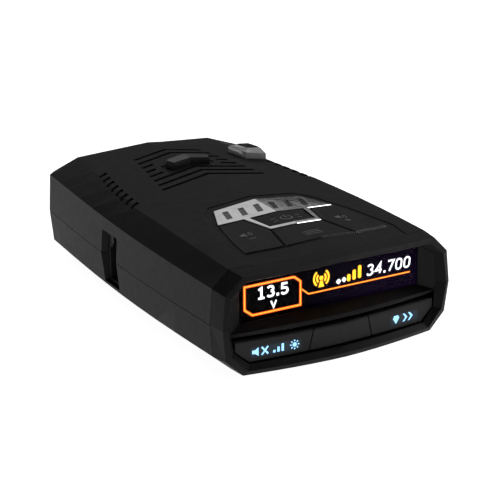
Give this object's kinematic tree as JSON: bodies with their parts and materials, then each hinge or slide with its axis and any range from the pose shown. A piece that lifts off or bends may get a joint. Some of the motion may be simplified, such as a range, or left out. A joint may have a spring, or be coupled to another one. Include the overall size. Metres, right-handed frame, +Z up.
{
  "type": "radar detector",
  "caption": "Dash-top radar detector with a hooded front display, lit front buttons, a roof keypad, a side power jack and a rear bracket slot.",
  "frame": {"origin": "centre of the bounding box at the underside of the case", "axes": "+X to the right of a person reading the display, +Y towards the windshield, +Z up"},
  "size_m": [0.0722, 0.1196, 0.0341],
  "materials": {
    "case_top": "fine-grain matte black",
    "case_bottom": "fine-grain matte black",
    "bezel": "satin black",
    "button": "satin black",
    "release": "satin grey",
    "badge": "polished",
    "gloss_black": "gloss",
    "window": "clear acrylic, faint smoke",
    "panel": "dark display with a lit readout",
    "flex": "amber film",
    "blue_light": "clear light guide lit pale blue",
    "lamp": "lit",
    "board": "green solder mask",
    "rf_board": "pale laminate",
    "switch": "plated",
    "steel": "zinc plated",
    "socket": "matte black",
    "basket": "satin",
    "cone": "pressed paper",
    "magnet": "dull",
    "gasket": "foam rubber",
    "clear_lens": "clear acrylic",
    "dark_window": "infrared filter",
    "sensor": "dark epoxy",
    "horn": "cast",
    "chip": "moulded",
    "shield": "tinned",
    "capacitor": "sleeved can",
    "ceramic": "ceramic",
    "jack": "matte black",
    "contacts": "gold plated"
  },
  "bodies": {
    "housing": {"top_case": "case_top", "bottom_case": "case_bottom", "case_screws": "steel", "front_bezel": "bezel", "display_window": "window", "display_panel": "panel", "display_flex": "flex", "front_centre_panel": "bezel", "front_switch_board": "board", "front_switches": "switch", "front_lamps": "lamp", "badge_plate": "badge", "badge_inlay": "gloss_black", "keypad_board": "board", "keypad_switches": "switch", "keypad_screws": "steel", "release_spring": "steel", "bracket_socket": "socket", "socket_screws": "steel", "speaker_basket": "basket", "speaker_cone": "cone", "speaker_magnet": "magnet", "speaker_gasket": "gasket", "laser_lens_block": "clear_lens", "laser_lens_cap": "gloss_black", "laser_sensor_board": "board", "laser_sensors": "sensor", "rear_window": "dark_window", "rear_sensor": "sensor", "horn_antenna": "horn", "rf_board": "rf_board", "rf_chip": "chip", "rf_shield": "shield", "main_board": "board", "board_screws": "steel", "processor_chip": "chip", "board_capacitors": "capacitor", "gps_patch": "ceramic", "power_jack": "jack", "jack_contacts": "contacts"},
    "left_key": {"left_button": "button", "left_button_light": "blue_light"},
    "right_key": {"right_button": "button", "right_button_light": "blue_light"},
    "volume_down_key": {"volume_down_button": "button"},
    "menu_key": {"menu_button": "button"},
    "volume_up_key": {"volume_up_button": "button"},
    "power_key": {"power_button": "button"},
    "release_key": {"release_button": "release"}
  },
  "joints": [
    {"name": "left_button_press", "type": "slide", "parent": "housing", "child": "left_key", "axis": [0, 1, 0], "range_m": [0, 0.0005], "stiffness_N_per_m": 1200},
    {"name": "right_button_press", "type": "slide", "parent": "housing", "child": "right_key", "axis": [0, 1, 0], "range_m": [0, 0.0005], "stiffness_N_per_m": 1200},
    {"name": "volume_down_press", "type": "slide", "parent": "housing", "child": "volume_down_key", "axis": [0, 0, -1], "range_m": [0, 0.0004], "stiffness_N_per_m": 1200},
    {"name": "menu_press", "type": "slide", "parent": "housing", "child": "menu_key", "axis": [0, 0, -1], "range_m": [0, 0.0004], "stiffness_N_per_m": 1200},
    {"name": "volume_up_press", "type": "slide", "parent": "housing", "child": "volume_up_key", "axis": [0, 0, -1], "range_m": [0, 0.0004], "stiffness_N_per_m": 1200},
    {"name": "power_press", "type": "slide", "parent": "housing", "child": "power_key", "axis": [0, 0, -1], "range_m": [0, 0.0004], "stiffness_N_per_m": 1200},
    {"name": "release_press", "type": "slide", "parent": "housing", "child": "release_key", "axis": [0, 0, -1], "range_m": [0, 0.0018], "stiffness_N_per_m": 1500, "deforming": ["release_spring"]}
  ]
}
